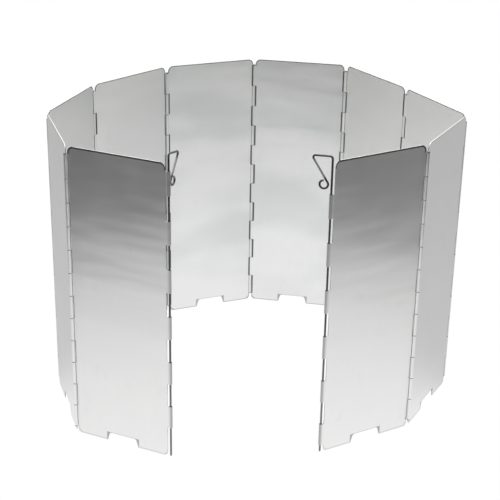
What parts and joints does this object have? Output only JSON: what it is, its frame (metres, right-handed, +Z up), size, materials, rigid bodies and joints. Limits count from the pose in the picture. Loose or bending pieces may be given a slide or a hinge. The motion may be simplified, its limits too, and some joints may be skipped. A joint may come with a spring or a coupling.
{
  "type": "stove windscreen",
  "caption": "Folding windscreen of thin aluminium plates hinged edge to edge on wire pins, standing on edge as an open ring round a stove, with a bent wire ground stake in each free edge.",
  "frame": {"origin": "on the ground under the middle of the ring's bounding box", "axes": "+Z up, the ring's open front faces -Y, +X to the right seen from the front"},
  "size_m": [0.3318, 0.2894, 0.2472],
  "materials": {
    "sheet": "satin mill-finish rolled sheet",
    "hinge_wire": "drawn wire",
    "stake_wire": "drawn wire"
  },
  "bodies": {
    "plate_1": {"plate_1": "sheet"},
    "plate_2": {"plate_2": "sheet", "hinge_pin_1": "hinge_wire"},
    "plate_3": {"plate_3": "sheet", "hinge_pin_2": "hinge_wire"},
    "plate_4": {"plate_4": "sheet", "hinge_pin_3": "hinge_wire"},
    "plate_5": {"plate_5": "sheet", "hinge_pin_4": "hinge_wire", "hinge_pin_5": "hinge_wire"},
    "plate_6": {"plate_6": "sheet", "hinge_pin_6": "hinge_wire"},
    "plate_7": {"plate_7": "sheet", "hinge_pin_7": "hinge_wire"},
    "plate_8": {"plate_8": "sheet", "hinge_pin_8": "hinge_wire"},
    "plate_9": {"plate_9": "sheet", "hinge_pin_9": "hinge_wire"},
    "plate_10": {"plate_10": "sheet"},
    "stake_left": {"stake_left": "stake_wire"},
    "stake_right": {"stake_right": "stake_wire"}
  },
  "joints": [
    {"name": "hinge_1", "type": "hinge", "parent": "plate_2", "child": "plate_1", "pos_m": [-0.13994, -0.11066, 0.12], "axis": [0, 0, -1], "range_deg": [0, 227.91]},
    {"name": "hinge_2", "type": "hinge", "parent": "plate_3", "child": "plate_2", "pos_m": [-0.16451, -0.03032, 0.12], "axis": [0, 0, 1], "range_deg": [0, 143.21]},
    {"name": "hinge_3", "type": "hinge", "parent": "plate_4", "child": "plate_3", "pos_m": [-0.1391, 0.04976, 0.12], "axis": [0, 0, -1], "range_deg": [0, 204.01]},
    {"name": "hinge_4", "type": "hinge", "parent": "plate_5", "child": "plate_4", "pos_m": [-0.08096, 0.11041, 0.12], "axis": [0, 0, 1], "range_deg": [0, 154.71]},
    {"name": "hinge_5", "type": "hinge", "parent": "plate_5", "child": "plate_6", "pos_m": [-0.00367, 0.14336, 0.12], "axis": [0, 0, 1], "range_deg": [0, 212.1]},
    {"name": "hinge_6", "type": "hinge", "parent": "plate_6", "child": "plate_7", "pos_m": [0.07875, 0.12706, 0.12], "axis": [0, 0, -1], "range_deg": [0, 133.11]},
    {"name": "hinge_7", "type": "hinge", "parent": "plate_7", "child": "plate_8", "pos_m": [0.12584, 0.05748, 0.12], "axis": [0, 0, 1], "range_deg": [0, 184.51]},
    {"name": "hinge_8", "type": "hinge", "parent": "plate_8", "child": "plate_9", "pos_m": [0.16451, -0.01711, 0.12], "axis": [0, 0, -1], "range_deg": [0, 123.31]},
    {"name": "hinge_9", "type": "hinge", "parent": "plate_9", "child": "plate_10", "pos_m": [0.12623, -0.09189, 0.12], "axis": [0, 0, 1], "range_deg": [0, 211.41]},
    {"name": "stake_left_slide", "type": "slide", "parent": "plate_1", "child": "stake_left", "axis": [0, 0, 1], "range_m": [-0.0104, 0.235]},
    {"name": "stake_right_slide", "type": "slide", "parent": "plate_10", "child": "stake_right", "axis": [0, 0, 1], "range_m": [-0.0264, 0.216]}
  ],
  "couplings": [
    {"joint": "hinge_1", "follows": "hinge_5", "ratio": 1.0745},
    {"joint": "hinge_2", "follows": "hinge_5", "ratio": 0.67515},
    {"joint": "hinge_3", "follows": "hinge_5", "ratio": 0.96181},
    {"joint": "hinge_4", "follows": "hinge_5", "ratio": 0.72937},
    {"joint": "hinge_6", "follows": "hinge_5", "ratio": 0.62753},
    {"joint": "hinge_7", "follows": "hinge_5", "ratio": 0.86987},
    {"joint": "hinge_8", "follows": "hinge_5", "ratio": 0.58133},
    {"joint": "hinge_9", "follows": "hinge_5", "ratio": 0.9967}
  ]
}
